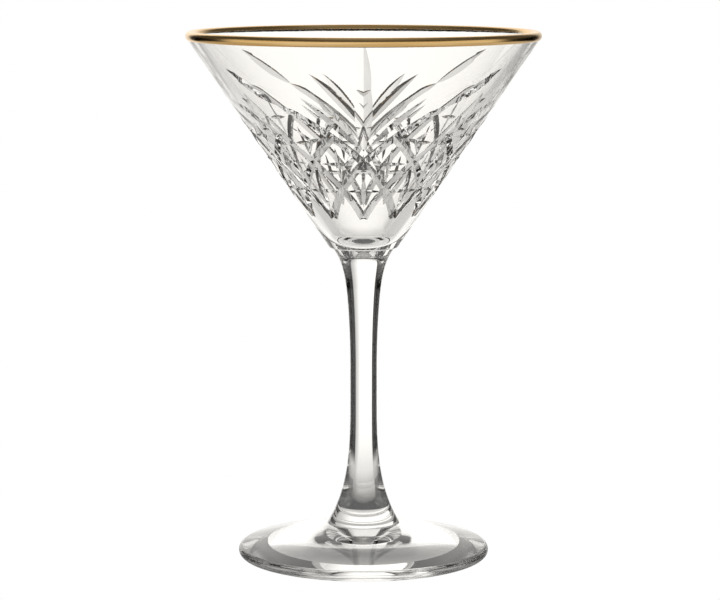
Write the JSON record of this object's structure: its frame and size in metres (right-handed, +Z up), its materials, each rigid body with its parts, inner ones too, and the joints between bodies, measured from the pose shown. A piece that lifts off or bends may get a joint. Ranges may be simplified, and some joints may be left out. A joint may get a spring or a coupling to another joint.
{
  "type": "martini glass",
  "caption": "Conical cut-pattern cocktail glass on a waisted solid stem and round foot, with diamond and fan cuts round the bowl and a gold band over the lip.",
  "frame": {"origin": "centre of the foot's underside, on the table plane", "axes": "+Z up along the glass's axis of revolution; -Y faces the viewer, with the fan of the cut pattern in its middle; +X to the viewer's right"},
  "size_m": [0.115, 0.115, 0.1725],
  "materials": {
    "clear_glass": "clear, fire-polished, with sharp cut facets",
    "gold": "satin gold lustre"
  },
  "bodies": {
    "root": {"bowl": "clear_glass", "stem": "clear_glass", "foot": "clear_glass", "gold_rim_band": "gold"}
  },
  "joints": []
}
